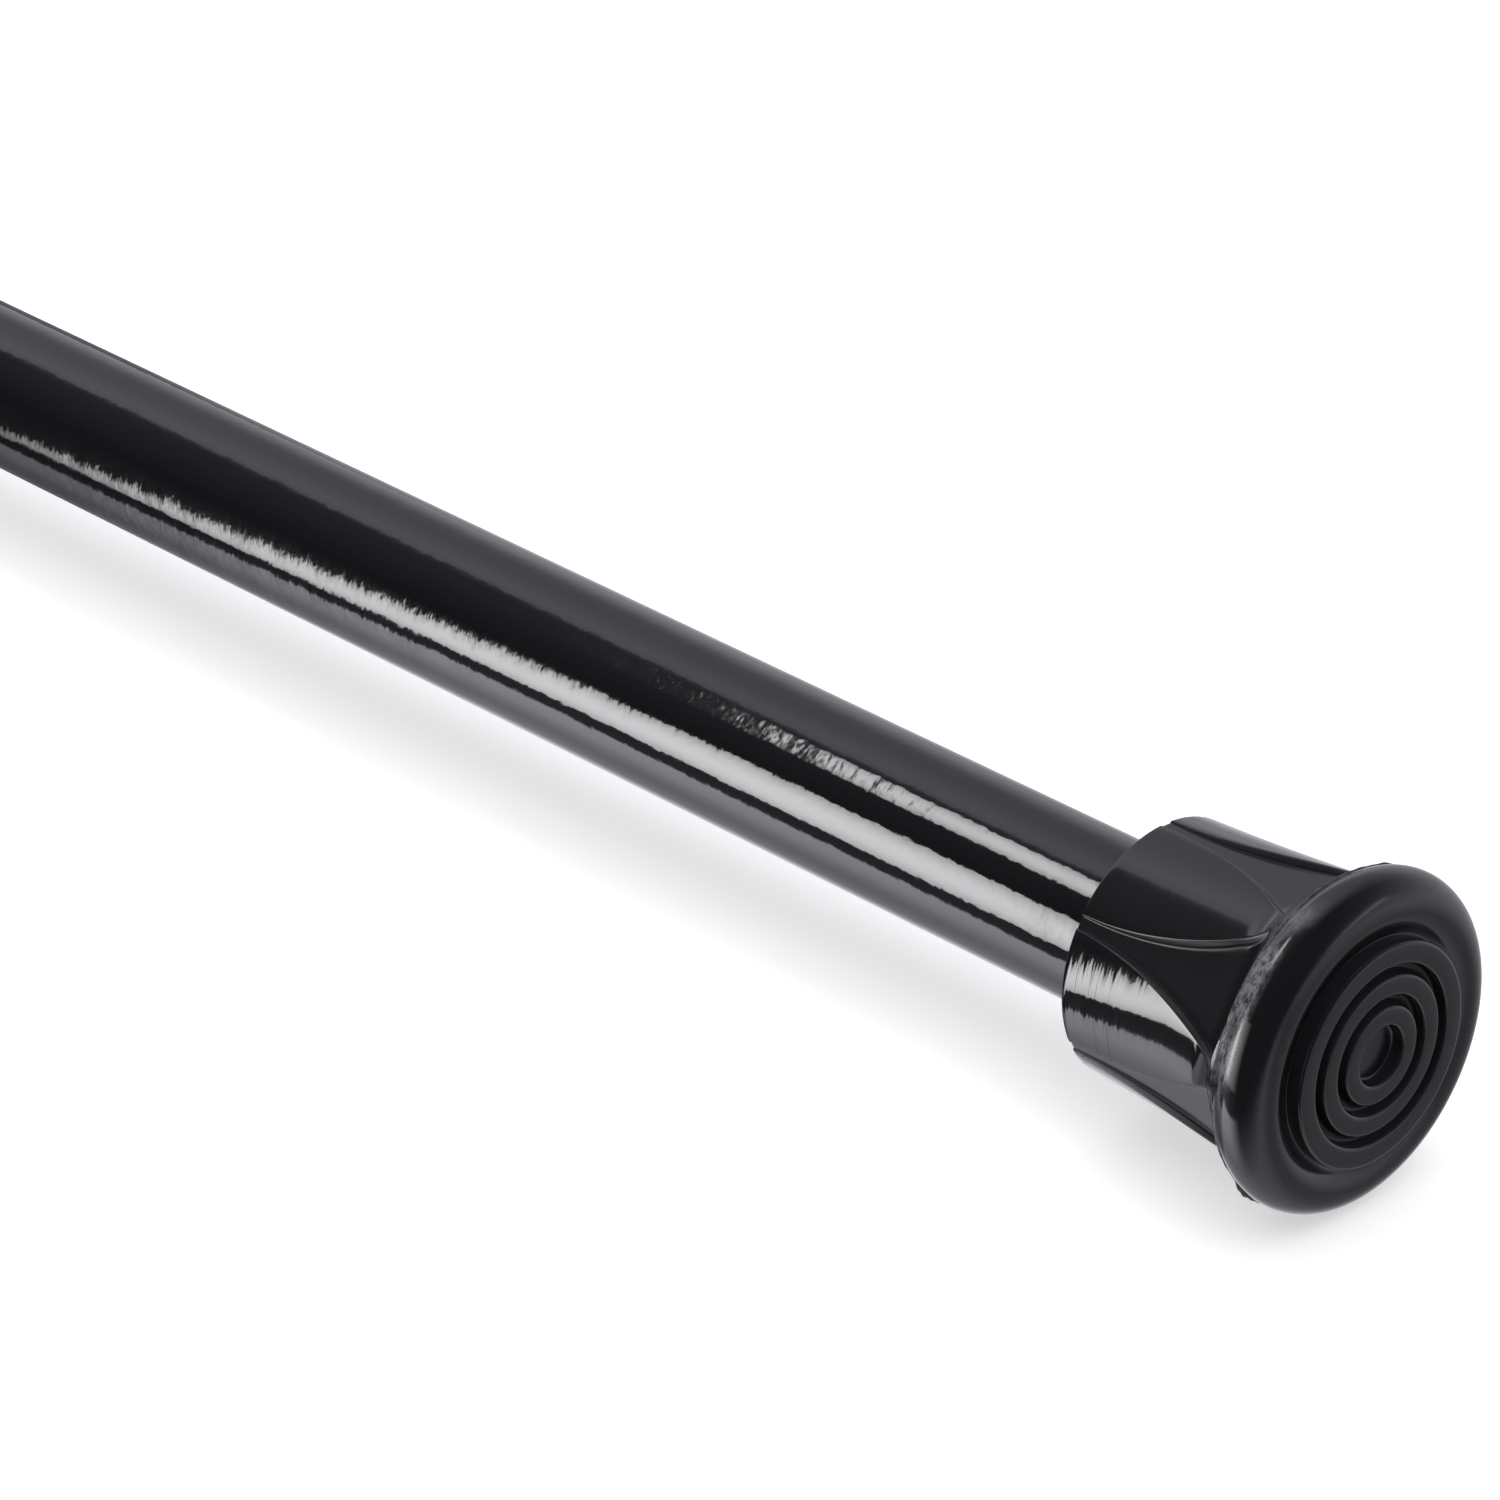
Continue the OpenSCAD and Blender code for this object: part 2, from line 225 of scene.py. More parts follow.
def flute_radius(z, aside=0.0):
    """Radius of a flute's floor at an angle from its middle: flat across, with a fillet up to the flange."""
    fillet_start = FLANGE_MEET - FLUTE_FILLET_R
    rise = min(1.0, max(0.0, (z - fillet_start) / FLUTE_FILLET_R))
    lifted = FLUTE_R / np.cos(aside) + FLUTE_FILLET_R * (1 - math.sqrt(1 - rise ** 2))
    return np.minimum(pad_radius(z), lifted)


def pad_half_width(z):
    """Half the width of a pad's pointed arch, z from the tread."""
    foot_half = PAD_R * math.sin(math.pi / PAD_COUNT) - FLUTE_MOUTH / 2
    arch_r = (foot_half ** 2 + PAD_ARCH_LENGTH ** 2) / (2 * foot_half)
    along = min(max(z + FOOT_LENGTH, 0.0), PAD_ARCH_LENGTH)
    return math.sqrt(arch_r ** 2 - along ** 2) - (arch_r - foot_half)


PAD_COLUMNS = 16
FLUTE_COLUMNS = 16
LEAST_HALF_WIDTH = 0.35 * MM
LEAST_WALL = 0.3 * MM
WIDEST_WALL = 0.9
"""The most of a half flute that a pad's side may take up."""
WALL_FOOT_AT = 0.8
"""Where the flute's depth is taken, as a share of a half flute."""
WALL_STEPS = (0.0, 0.08, 0.16, 0.24, 0.32, 0.4, 0.5, 0.65, 0.8, 0.9)
CREST_ROUNDING = 0.4
FOOT_ROUNDING = 0.5


def ramp(u):
    """A straight ramp from 0 to 1 whose start and end are rounded."""
    slope = 1 / (1 - (CREST_ROUNDING + FOOT_ROUNDING) / 2)
    if u < CREST_ROUNDING:
        return slope * u * u / (2 * CREST_ROUNDING)
    if u > 1 - FOOT_ROUNDING:
        return 1 - slope * (1 - u) ** 2 / (2 * FOOT_ROUNDING)
    return slope * (u - CREST_ROUNDING / 2)


def foot_columns(z, spread):
    """Angles round the foot and how far each is up on a pad, for a row at z.

    The columns follow the pads' outlines; spread = 1 spaces them evenly instead.
    """
    pitch = 2 * math.pi / PAD_COUNT
    half = max(pad_half_width(z), LEAST_HALF_WIDTH)
    pad_angle = math.asin(half / PAD_R)
    gap = pitch / 2 - pad_angle
    height = pad_radius(z) - flute_radius(z, WALL_FOOT_AT * gap)
    full_wall = max(height * PAD_WALL_RUN, LEAST_WALL) / PAD_R
    wall = min(full_wall, WIDEST_WALL * gap)
    reached = wall / full_wall
    angles, raised = [], []
    for pad in range(PAD_COUNT):
        middle = (pad + 0.5) * pitch
        for k in range(PAD_COLUMNS):
            angles.append(middle + pad_angle * (2 * k / PAD_COLUMNS - 1))
            raised.append(1.0)
        for u in WALL_STEPS:
            angles.append(middle + pad_angle + wall * u)
            raised.append(1 - ramp(u * reached))
        flute = 2 * (gap - wall)
        for k in range(FLUTE_COLUMNS):
            angles.append(middle + pad_angle + wall + flute * k / FLUTE_COLUMNS)
            raised.append(1 - ramp(reached))
        for u in reversed(WALL_STEPS[1:] + (1.0,)):
            angles.append(middle + pitch - pad_angle - wall * u)
            raised.append(1 - ramp(u * reached))
    count = len(angles)
    even = pitch / 2 - pad_angle + np.arange(count) * 2 * math.pi / count
    angles = np.array(angles)
    return angles * (1 - spread) + even * spread, np.array(raised)


def aside_of_flute(angles):
    """Angle of each column from the middle of its flute, kept within the flute's reach."""
    pitch = 2 * math.pi / PAD_COUNT
    return np.abs((angles + pitch / 2) % pitch - pitch / 2)


def tread_outline():
    """From the valley to the middle of the tread."""
    points = [VALLEY]
    for inner, outer in reversed(RING_TOPS):
        depth = VALLEY[1] if outer == RING_TOPS[-1][1] else -GROOVE_DEPTH
        points += [(outer, depth), (outer, 0.0), (inner, 0.0), (inner, -GROOVE_DEPTH)]
    points.append((0.1 * MM, -GROOVE_DEPTH))
    return rounded(points, RING_ROUNDING, 6)


def flash(angles):
    """How far the mould's parting flash stands out round the flange, ragged where it was trimmed."""
    ripple = np.sin(37 * angles) * np.sin(23 * angles + 1.3) + 0.6 * np.sin(61 * angles + 0.4)
    out = 0.10 * MM + 0.05 * MM * ripple
    for middle, width, height in FLASH_TABS:
        offset = (np.degrees(angles) - middle + 180) % 360 - 180
        jagged = 0.9 + 0.1 * np.sin(47 * angles) * np.sin(31 * angles)
        out = out + height * MM * np.exp(-(offset / width) ** 4) * jagged
    return out


def foot_rows(bore_r):
    """Rows of the foot's surface, from the bottom of its bore round the outside to the tread's middle."""
    rows = []
    back = -FOOT_LENGTH
    lip = bore_r + CUT_EDGE
    angles, raised = foot_columns(back, 0)
    low = flute_radius(back, aside_of_flute(angles))
    outside = low + (pad_radius(back) - low) * raised
    floor = -FOOT_RUBBER
    for r in (0.25 * bore_r, 0.6 * bore_r, bore_r):
        rows.append((floor, np.full(len(angles), r), angles, raised))
    for k in range(1, 13):
        z = floor + (back + CUT_EDGE - floor) * k / 12
        rows.append((z, np.full(len(angles), bore_r), angles, raised))
    rows.append((back, np.full(len(angles), lip), angles, raised))
    for share in (0.3, 0.65, 1.0):
        rows.append((back, lip + (outside - CUT_EDGE - lip) * share, angles, raised))
    for k in range(1, 6):
        a = math.radians(90 * k / 6)
        z = back + CUT_EDGE * (1 - math.cos(a))
        rows.append((z, outside - CUT_EDGE * (1 - math.sin(a)), angles, raised))
    steps = list(np.linspace(back + CUT_EDGE, FLARE_KNEE, 44))
    steps += list(np.linspace(FLARE_KNEE, FLANGE_MEET, 34)[1:])
    for z in steps:
        angles, raised = foot_columns(z, float(smooth(BLENDED_FROM, FLANGE_MEET, z)))
        low = flute_radius(z, aside_of_flute(angles))
        rows.append((z, low + (pad_radius(z) - low) * raised, angles, raised))
    even, _ = foot_columns(FLANGE_MEET, 1)
    level = np.ones(len(even))
    stand_out = flash(even)
    for z, share in FLASH_ROWS:
        rows.append((z * MM, FLANGE_LAND_R + stand_out * share, even, level))
    start = -math.degrees(math.asin((FLANGE_MIDDLE[1] - FLASH_END) / FLANGE_ROUND_R))
    end = 180 - math.degrees(math.asin((VALLEY[1] - FLANGE_MIDDLE[1] + VALLEY_LIP) / FLANGE_ROUND_R))
    for r, z in arc(FLANGE_MIDDLE, FLANGE_ROUND_R, start, end, 44) + tread_outline():
        rows.append((z, np.full(len(even), r), even, level))
    return rows


def make_foot(name, bore_r, tread_x, outward, turn, crooked):
    """A foot whose tread faces along outward (+1 or -1 along X)."""
    rows = foot_rows(bore_r)
    columns = len(rows[0][2])
    vertices, foot_z, foot_angle, on_pad = [], [], [], []
    for z, r, angles, raised in rows:
        for r_here, angle, up in zip(r, angles, raised):
            a = angle + turn
            vertices.append((tread_x + outward * z, r_here * math.sin(a), r_here * math.cos(a)))
            foot_z.append(z / MM)
            foot_angle.append(math.degrees(math.atan2(math.sin(a), math.cos(a))))
            on_pad.append(up)
    faces = ring_faces(len(rows), columns, False, outward > 0)
    for row, tip_z, inward in ((0, rows[0][0], True), (len(rows) - 1, rows[-1][0], False)):
        centre = len(vertices)
        vertices.append((tread_x + outward * tip_z, 0, 0))
        foot_z.append(tip_z / MM)
        foot_angle.append(0)
        on_pad.append(1)
        for j in range(columns):
            a, b = row * columns + j, row * columns + (j + 1) % columns
            triangle = (centre, a, b) if inward == (outward > 0) else (centre, b, a)
            faces.append(triangle)
    return new_object(name, vertices, faces, {"foot_z": foot_z, "foot_angle": foot_angle, "on_pad": on_pad,
                                              "crooked": [crooked] * len(vertices)})


# ---------------------------------------------------------------- tubes and spring

def make_tube(name, x0, x1, outer_r, wall, columns=192):
    """A tube with its cut edges lightly rounded, and rows along it to carry its length."""
    length = x1 - x0
    edge = 0.3 * MM
    along = list(np.linspace(edge, length - edge, 80))
    outer = [(outer_r, s) for s in along]
    inner = [(outer_r - wall, s) for s in reversed(along)]
    far = arc((outer_r - edge, length - edge), edge, 0, 90, 4)[1:]
    far += arc((outer_r - wall + edge, length - edge), edge, 90, 180, 4)[:-1]
    near = arc((outer_r - wall + edge, edge), edge, 180, 270, 4)[1:]
    near += arc((outer_r - edge, edge), edge, 270, 360, 4)[:-1]
    return revolve(name, outer + far + inner + near, columns, x0)


SPRING_WIRE_R = 0.88 * MM
SPRING_COIL_R = 8.0 * MM
SPRING_TURNS = 8


def make_spring(name, x0, x1, steps=40, sides=14):
    """A coil with its first and last turns lying closed."""
    length = x1 - x0
    closed = 2 * SPRING_WIRE_R
    open_rise = length - 2 * SPRING_WIRE_R - 2 * closed
    rows = []
    for i in range(SPRING_TURNS * steps + 1):
        turn = i / steps
        if turn < 1:
            height = turn * closed
        elif turn > SPRING_TURNS - 1:
            height = length - 2 * SPRING_WIRE_R - (SPRING_TURNS - turn) * closed
        else:
            height = closed + (turn - 1) / (SPRING_TURNS - 2) * open_rise
        a = 2 * math.pi * turn
        row = []
        for k in range(sides):
            b = 2 * math.pi * k / sides
            r = SPRING_COIL_R + SPRING_WIRE_R * math.cos(b)
            x = x0 + SPRING_WIRE_R + height + SPRING_WIRE_R * math.sin(b)
            row.append((x, r * math.sin(a), r * math.cos(a)))
        rows.append(row)
    vertices = [v for row in rows for v in row]
    faces = ring_faces(len(rows), sides, False, False)
    faces.append(tuple(range(sides)))
    faces.append(tuple(reversed(range(len(vertices) - sides, len(vertices)))))
    return new_object(name, vertices, faces)


# ---------------------------------------------------------------- node helpers

def connect(tree, socket, value):
    if isinstance(value, bpy.types.NodeSocket):
        tree.links.new(value, socket)
    elif value is not None:
        socket.default_value = value


def node(tree, kind, inputs=None, **settings):
    """Adds a node. inputs maps socket names or numbers to values or to other nodes' sockets."""
    made = tree.nodes.new("ShaderNode" + kind)
    for key, value in settings.items():
        setattr(made, key, value)
    for key, value in (inputs or {}).items():
        connect(tree, made.inputs[key], value)
    return made


def maths(tree, operation, first, *others):
    """A maths operation on one value, or on several from left to right."""
    if not others:
        return node(tree, "Math", {0: first}, operation=operation).outputs[0]
    for other in others:
        first = node(tree, "Math", {0: first, 1: other}, operation=operation).outputs[0]
    return first


def times(tree, *factors):
    return maths(tree, "MULTIPLY", *factors)


def attribute(tree, name):
    return node(tree, "Attribute", attribute_name=name).outputs["Fac"]


def map_range(tree, value, start, end, **settings):
    """0 where value is at start, rising to 1 at end."""
    return node(tree, "MapRange", {"Value": value, "From Min": start, "From Max": end}, **settings).outputs[0]


def above(tree, value, low, soft):
    """1 where value lies above low, falling to 0 over soft."""
    return map_range(tree, value, low - soft, low + soft, interpolation_type="SMOOTHSTEP")


def between(tree, value, low, high, soft):
    """1 where value lies between low and high, falling to 0 over soft on each side."""
    below = map_range(tree, value, high + soft, high - soft, interpolation_type="SMOOTHSTEP")
    return times(tree, above(tree, value, low, soft), below)


def blend_value(tree, factor, low, high):
    return node(tree, "MapRange", {"Value": factor, "To Min": low, "To Max": high}).outputs[0]


def blend_colour(tree, factor, first, second):
    mix = node(tree, "Mix", {0: factor}, data_type="RGBA")
    connect(tree, mix.inputs[6], first)
    connect(tree, mix.inputs[7], second)
    return mix.outputs[2]


def place(tree, scale):
    """The place of a point in metres, stretched by scale along each axis."""
    where = node(tree, "TexCoord").outputs["Object"]
    return node(tree, "Mapping", {"Vector": where, "Scale": scale}).outputs[0]


def noise(tree, vector, detail=2.0, rough=0.5):
    inputs = {"Vector": vector, "Scale": 1.0, "Detail": detail, "Roughness": rough}
    return node(tree, "TexNoise", inputs).outputs[0]


def bumps(tree, *layers):
    """Stacks bump layers, each a (height socket, depth in metres) pair."""
    normal = None
    for height, depth in layers:
        inputs = {"Height": height, "Distance": depth, "Strength": 1.0, "Normal": normal}
        normal = node(tree, "Bump", inputs).outputs[0]
    return normal


def surface(name, build):
    """A material whose principled inputs come from build(tree)."""
    material = bpy.data.materials.new(name)
    material.use_nodes = True
    tree = material.node_tree
    tree.nodes.clear()
    shader = node(tree, "BsdfPrincipled", build(tree))
    out = node(tree, "OutputMaterial")
    tree.links.new(shader.outputs[0], out.inputs[0])
    return material


# ---------------------------------------------------------------- materials

def gloss_paint(tree):
    """Black gloss coat on steel tube: orange peel, rolling marks across the tube and fine dust."""
    swell = noise(tree, place(tree, (150, 90, 90)), detail=0)
    peel = noise(tree, place(tree, (520, 700, 700)), detail=1)
    rolling = noise(tree, place(tree, (900, 210, 210)), detail=3, rough=0.65)
    dust = noise(tree, place(tree, (2600, 2600, 2600)), detail=1)
    haze = noise(tree, place(tree, (60, 150, 150)), detail=2)
    return {
        "Base Color": blend_colour(tree, haze, (0.0040, 0.0038, 0.0050, 1), (0.0056, 0.0054, 0.0068, 1)),
        "Roughness": blend_value(tree, times(tree, haze, dust), 0.045, 0.11),
        "IOR": 1.5,
        "Normal": bumps(tree, (swell, 55e-6), (peel, 22e-6), (rolling, 10e-6), (dust, 1.5e-6)),
    }


# Where things lie on the foot: millimetres from its tread, or degrees round it
SIDE = (-43, -10)
CREASED = (-43, -12)
TREAD = (-3.2, 1)
GROOVES = (-3, -0.5)
FLANGE_EDGE = (-9.4, -5.8)
# On this arc the light strip's highlight falls on the flange's edge; the worn grey there is partly painted
# highlight.
SCUFFED_LIT_ARC = (-86, -22)
LINED = (-43, -26)
LINED_ARC = (-122, -66)
NEAR_PAD = (-120, -58)

SHEEN_CHANGE = (-22, -42)
"""Where the crooked foot's sheen starts and ends its change; the next two are for its two ends."""
SHEEN_LEAN = (-0.012, -0.042)
SHEEN_ROLL = (-0.03, 0.11)


def crooked_sheen(tree, normal, foot_z, foot_angle, share):
    """Leans and rolls the pads' sheen as if the foot sat a few degrees crooked, most at its open end."""
    crooked = times(tree, share, attribute(tree, "crooked"))
    change = map_range(tree, foot_z, *SHEEN_CHANGE)
    lean = times(tree, blend_value(tree, change, *SHEEN_LEAN), crooked)
    near_pad = between(tree, foot_angle, *NEAR_PAD, 1)
    roll = times(tree, blend_value(tree, change, *SHEEN_ROLL), crooked, near_pad)
    round_bar = node(tree, "VectorMath", {0: normal, 1: (1, 0, 0)}, operation="CROSS_PRODUCT").outputs[0]
    rolled = node(tree, "VectorMath", {0: round_bar, "Scale": roll}, operation="SCALE").outputs[0]
    leant = node(tree, "CombineXYZ", {0: lean}).outputs[0]
    both = node(tree, "VectorMath", {0: rolled, 1: leant}, operation="ADD").outputs[0]
    return node(tree, "VectorMath", {0: normal, 1: both}, operation="ADD").outputs[0]


def noise_on_foot(tree, foot_z, foot_angle, along, around, **settings):
    """Noise with so many waves to a millimetre along the foot and to a degree around it."""
    inputs = {0: times(tree, foot_z, along), 1: times(tree, foot_angle, around)}
    return noise(tree, node(tree, "CombineXYZ", inputs).outputs[0], **settings)


def foot_scuffs_and_sheen(tree, foot_z, foot_angle):
    """Scratches along the near stretch of the flange's edge, and where they have worn it grey; the grey is
    also a painted highlight where the light strip falls on that arc.
    """
    on_arc = between(tree, foot_angle, *SCUFFED_LIT_ARC, 9)
    on_edge = times(tree, between(tree, foot_z, *FLANGE_EDGE, 0.9), on_arc)
    scratch = noise_on_foot(tree, foot_z, foot_angle, 1.1, 0.3, detail=5, rough=0.8)
    along_edge = node(tree, "CombineXYZ", {0: times(tree, foot_angle, 0.05)}).outputs[0]
    patches = above(tree, noise(tree, along_edge, detail=0), 0.42, 0.12)
    wear_and_painted_sheen = times(tree, on_edge, above(tree, scratch, 0.46, 0.14), patches)
    return times(tree, scratch, on_edge), wear_and_painted_sheen


def foot_shade_and_hairlines(tree, foot_z, foot_angle, on_pad):
    """Where the foot's shine is turned down: painted shade in the creases beside the pads and in the tread's
    grooves, and hairlines on the near pad.
    """
    # Painted shade: the shine drops in a thin band beside each pad's edge, where shade falls in the crease.
    crease = times(tree, between(tree, on_pad, 0.01, 0.3, 0.02), between(tree, foot_z, *CREASED, 1.5))
    where = node(tree, "TexCoord").outputs["Object"]
    across_bar = node(tree, "VectorMath", {0: where, 1: (0, 1, 1)}, operation="MULTIPLY").outputs[0]
    from_axis = node(tree, "VectorMath", {0: across_bar}, operation="LENGTH").outputs["Value"]
    in_rings = between(tree, from_axis, RECESS_R, VALLEY[0] - 0.4 * MM, 0.2 * MM)
    # Painted shade: the shine drops in the tread's grooves.
    in_groove = times(tree, in_rings, between(tree, foot_z, *GROOVES, 0.3))
    lines = above(tree, noise_on_foot(tree, foot_z, foot_angle, 2.3, 0.012, detail=0), 0.72, 0.03)
    hairline = times(tree, lines, between(tree, foot_angle, *LINED_ARC, 5), between(tree, foot_z, *LINED, 2))
    return maths(tree, "MAXIMUM", crease, times(tree, in_groove, 0.85), times(tree, hairline, 0.7))


def moulded_rubber(tree):
    """Black moulded foot: fine turning lines of the mould round the pads, scuffs along the flange's edge
    whose grey is partly painted highlight, and painted shade in creases and grooves.
    """
    foot_z = attribute(tree, "foot_z")
    foot_angle = attribute(tree, "foot_angle")
    on_pad = attribute(tree, "on_pad")
    on_side = between(tree, foot_z, *SIDE, 0.6)
    on_wall = between(tree, on_pad, 0.02, 0.98, 0.02)
    on_tread = between(tree, foot_z, *TREAD, 1.2)
    in_flute = times(tree, on_side, between(tree, on_pad, -1, 0.03, 0.02))
    grain = noise(tree, place(tree, (1500, 1500, 1500)), detail=3, rough=0.6)
    mottle = noise(tree, place(tree, (130, 130, 130)), detail=3)
    scratches, wear_and_painted_sheen = foot_scuffs_and_sheen(tree, foot_z, foot_angle)
    turning = noise_on_foot(tree, foot_z, foot_angle, 0.9, 0.05, detail=1)
    to_open_end = node(tree, "MapRange", {"Value": foot_z, "From Min": -20, "From Max": -36, "To Min": 0.12})
    turning_lines = times(tree, turning, to_open_end.outputs[0], on_side)
    worn = bumps(tree, (turning_lines, 24e-6), (grain, 2.5e-6), (mottle, 12e-6), (scratches, 16e-6))
    base = blend_colour(tree, mottle, (0.0052, 0.0050, 0.0062, 1), (0.0074, 0.0072, 0.0086, 1))
    shade_and_hairlines = foot_shade_and_hairlines(tree, foot_z, foot_angle, on_pad)
    rougher = [times(tree, mask, amount)
               for mask, amount in ((on_tread, 0.14), (on_wall, 0.3), (in_flute, 0.09), (wear_and_painted_sheen, 0.3))]
    return {
        # The grey on the flange's edge is wear, and partly a painted highlight where the light strip falls.
        "Base Color": blend_colour(tree, wear_and_painted_sheen, base, (0.16, 0.158, 0.166, 1)),
        "Roughness": maths(tree, "ADD", blend_value(tree, mottle, 0.03, 0.08), *rougher),
        "IOR": 1.5,
        # Painted shade in the creases and grooves, and the hairlines, turn the shine down here.
        "Specular IOR Level": blend_value(tree, shade_and_hairlines, 0.5, 0.1),
        "Normal": crooked_sheen(tree, worn, foot_z, foot_angle, times(tree, on_side, on_pad)),
    }


def grained_plastic(dark, light, grain_depth=8e-6):
    """Moulded plastic with a fine spark-eroded grain."""
    def build(tree):
        grain = noise(tree, place(tree, (1800, 1800, 1800)), detail=3, rough=0.6)
        cloud = noise(tree, place(tree, (90, 90, 90)), detail=2)
        return {
            "Base Color": blend_colour(tree, cloud, (*dark, 1), (*light, 1)),
            "Roughness": blend_value(tree, grain, 0.34, 0.5),
            "Normal": bumps(tree, (grain, grain_depth)),
        }
    return build


def turned_metal(dark, light, low_rough, high_rough):
    """Metal with fine marks round the bar's axis and a cloudy finish."""
    def build(tree):
        marks = noise(tree, place(tree, (5200, 160, 160)), detail=3, rough=0.7)
        cloud = noise(tree, place(tree, (240, 240, 240)), detail=3)
        return {
            "Base Color": blend_colour(tree, cloud, (*dark, 1), (*light, 1)),
            "Metallic": 1.0,
            "Roughness": blend_value(tree, cloud, low_rough, high_rough),
            "Normal": bumps(tree, (marks, 5e-6), (cloud, 8e-6)),
        }
    return build


MATERIALS = {
    "black_gloss_paint": surface("gloss_paint", gloss_paint),
    "black_rubber": surface("moulded_rubber", moulded_rubber),
    "black_plastic": surface("collar_plastic", grained_plastic((0.010, 0.010, 0.012), (0.016, 0.016, 0.018))),
    "natural_nylon": surface("natural_nylon", grained_plastic((0.66, 0.63, 0.55), (0.76, 0.74, 0.68), 4e-6)),
    "ring_rubber": surface("ring_rubber", grained_plastic((0.02, 0.02, 0.02), (0.03, 0.03, 0.03), 5e-6)),
    "brass": surface("turned_brass", turned_metal((0.62, 0.43, 0.17), (0.80, 0.60, 0.30), 0.18, 0.34)),
    "spring_steel": surface("spring_steel", turned_metal((0.30, 0.30, 0.32), (0.48, 0.48, 0.50), 0.22, 0.4)),
    "zinc_steel": surface("zinc_steel", turned_metal((0.50, 0.51, 0.54), (0.66, 0.67, 0.68), 0.2, 0.36)),
}


def finish_piece(obj, body, slot, *stands_for):
    """Gives a new piece its material, its body and the CAD nodes it stands for."""
    obj.data.materials.append(MATERIALS[slot])
    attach(obj, body)
    if stands_for:
        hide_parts(*stands_for)


# ---------------------------------------------------------------- pieces

SLOT_OF = {part["node"]: part["material_slot"] for part in frame["record"]["subparts"]}
for node_name, cad_object in frame["nodes"].items():
    cad_object.data.materials.clear()
    cad_object.data.materials.append(MATERIALS[SLOT_OF[node_name]])

finish_piece(make_foot("outer_foot_moulding", OUTER_TUBE_R, OUTER_TREAD, 1, OUTER_FOOT_TURN, 1.0),
             "outer_assembly", "black_rubber", "outer_foot")
finish_piece(make_foot("inner_foot_moulding", INNER_TUBE_R, INNER_TREAD, -1, 0.0, 0.0),
             "inner_assembly", "black_rubber", "inner_foot")
finish_piece(make_tube("outer_tube_painted", *across("outer_tube"), OUTER_TUBE_R, TUBE_WALL),
             "outer_assembly", "black_gloss_paint", "outer_tube")
finish_piece(make_tube("inner_tube_painted", *across("inner_tube"), INNER_TUBE_R, TUBE_WALL),
             "inner_assembly", "black_gloss_paint", "inner_tube")

spring_start, spring_end = across("spring")
coil = make_spring("load_spring", spring_start, spring_end)
finish_piece(coil, "drive_core", "spring_steel", "spring")
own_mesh(coil)


# ---------------------------------------------------------------- studio

REACH = 2.0
"""Distance of the light panels from the bar's axis."""
LIGHT_TINT = (1.02, 1.0, 1.09, 1)
"""The surroundings are a little violet, the lamps less so."""
PANEL_TINT = (1.0, 1.0, 1.02, 1)
EDGE_FALL = 0.45
"""How much of a panel's brightness is lost at its lowest and highest angle."""


def light_panel(name, stations, columns=24):
    """A glowing strip that is curved round the bar at a distance of REACH.

    Each station is (x, lowest angle, highest angle, brightness), with the angles in degrees from the near
    side (-Y) upwards.
    """
    vertices, glow = [], []
    for x, low, high, brightness in stations:
        for k in range(columns + 1):
            t = k / columns
            a = math.radians(low + (high - low) * t)
            vertices.append((x, -REACH * math.cos(a), REACH * math.sin(a)))
            glow.append(brightness * (1 - EDGE_FALL * (2 * t - 1) ** 2))
    faces = []
    for i in range(len(stations) - 1):
        for k in range(columns):
            a = i * (columns + 1) + k
            faces.append((a, a + 1, a + columns + 2, a + columns + 1))
    obj = new_object(name, vertices, faces, {"glow": glow})
    material = bpy.data.materials.new(name)
    material.use_nodes = True
    tree = material.node_tree
    tree.nodes.clear()
    light = node(tree, "Emission", {"Color": PANEL_TINT, "Strength": attribute(tree, "glow")})
    tree.links.new(light.outputs[0], node(tree, "OutputMaterial").inputs[0])
    obj.data.materials.append(material)
    obj.visible_camera = False
    obj.visible_shadow = False
    obj.visible_diffuse = False


NEAR_STRIP = (
    (-2.5, -42, -34, 0.5), (-2.3, -33, -19, 3.2), (-2.18, -31, -10, 7), (-2.09, -28.5, -2, 9.3),
    (-2.0, -23.5, 4.5, 10.5), (-1.84, -20.5, 16.5, 12), (-1.65, -20, 21.5, 12.5), (-1.48, -20, 21.5, 12.5),
    (-1.2, -20, 21.5, 4.5), (-0.5, -20, 21.5, 2.2), (0.0, -20, 21.5, 0))
"""Gives the long highlight, which sinks and narrows away from the outer foot."""
UPPER_BOX = ((-1.69, 56, 79.5, 0), (-1.67, 56, 79.5, 11), (-1.38, 56, 79.5, 11))
"""Short, so that only the last stretch before the outer foot mirrors it."""
FAR_STRIP = ((1.2, 150, 158, 0), (1.8, 150, 158, 2.5), (5.0, 150, 158, 2.5))
"""Faint, and only there to draw the bar's far side."""

light_panel("near_strip", NEAR_STRIP)
light_panel("upper_box", UPPER_BOX)
light_panel("far_strip", FAR_STRIP)


